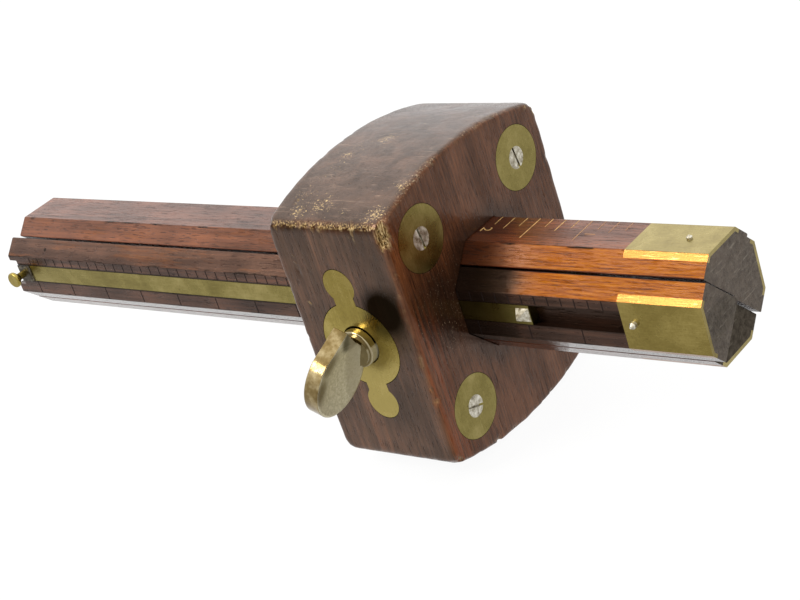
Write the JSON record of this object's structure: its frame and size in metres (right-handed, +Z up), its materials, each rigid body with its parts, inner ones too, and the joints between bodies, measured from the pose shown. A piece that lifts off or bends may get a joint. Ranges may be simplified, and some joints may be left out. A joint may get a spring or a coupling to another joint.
{
  "type": "marking gauge",
  "caption": "Wooden combination marking and mortise gauge: independently sliding graduated bars with scribing pins, clamped in a crowned head by a brass thumb screw.",
  "frame": {"origin": "centre of the head's fence face, on the stem's axis", "axes": "+X along the stem towards the scribing pins, out of the fence face; +Y across the head, away from the thumb screw; +Z up towards one crowned side"},
  "size_m": [0.202, 0.0719, 0.0646],
  "materials": {
    "head_rosewood": "worn polish, dark rosewood",
    "stem_rosewood": "worn polish, red-brown rosewood",
    "aged_brass": "aged, brushed, olive tone",
    "turned_brass": "handled, semi-polished",
    "steel": "dull, slightly tarnished"
  },
  "bodies": {
    "head": {"head_block": "head_rosewood", "wear_disc_upper_near": "aged_brass", "wear_disc_upper_far": "aged_brass", "wear_disc_lower_near": "aged_brass", "wear_disc_lower_far": "aged_brass", "disc_screws": "steel", "escutcheon_plate": "aged_brass", "escutcheon_pins": "aged_brass", "thumb_screw_bush": "turned_brass"},
    "shoe": {"pressure_shoe": "turned_brass"},
    "clamp_screw": {"thumb_screw": "turned_brass"},
    "top_stem": {"top_bar": "stem_rosewood", "top_wear_plate": "aged_brass", "top_plate_rivets": "aged_brass", "top_scribing_pin": "steel"},
    "rear_stem": {"rear_bar": "stem_rosewood", "rear_wear_plate": "aged_brass", "rear_plate_rivets": "aged_brass", "rear_scribing_pin": "steel"},
    "near_stem": {"near_bar": "stem_rosewood", "near_wear_plate": "aged_brass", "near_plate_rivets": "aged_brass", "near_scribing_pin": "steel"},
    "bottom_stem": {"bottom_bar": "stem_rosewood", "bottom_wear_plate": "aged_brass", "bottom_plate_rivets": "aged_brass", "bottom_scribing_pin": "steel"},
    "slide": {"mortise_slide": "aged_brass", "slide_spur": "steel", "slide_pull_block": "steel", "slide_knob": "turned_brass"}
  },
  "joints": [
    {"name": "top_bar_slide", "type": "slide", "parent": "head", "child": "top_stem", "axis": [1, 0, 0], "range_m": [-0.048, 0.11]},
    {"name": "rear_bar_slide", "type": "slide", "parent": "head", "child": "rear_stem", "axis": [1, 0, 0], "range_m": [-0.047, 0.111]},
    {"name": "near_bar_slide", "type": "slide", "parent": "head", "child": "near_stem", "axis": [1, 0, 0], "range_m": [-0.0134, 0.0855]},
    {"name": "bottom_bar_slide", "type": "slide", "parent": "head", "child": "bottom_stem", "axis": [1, 0, 0], "range_m": [-0.046, 0.113]},
    {"name": "mortise_slide_travel", "type": "slide", "parent": "near_stem", "child": "slide", "axis": [1, 0, 0], "range_m": [0, 0.0213]},
    {"name": "shoe_travel", "type": "slide", "parent": "head", "child": "shoe", "axis": [0, -1, 0], "range_m": [0, 0.0015]},
    {"name": "thumb_screw_turn", "type": "hinge", "parent": "shoe", "child": "clamp_screw", "pos_m": [-0.0154, -0.03, 0], "axis": [0, -1, 0], "range_deg": [0, 540]}
  ],
  "couplings": [
    {"joint": "thumb_screw_turn", "follows": "shoe_travel", "rad_per_m": 6283.2}
  ]
}
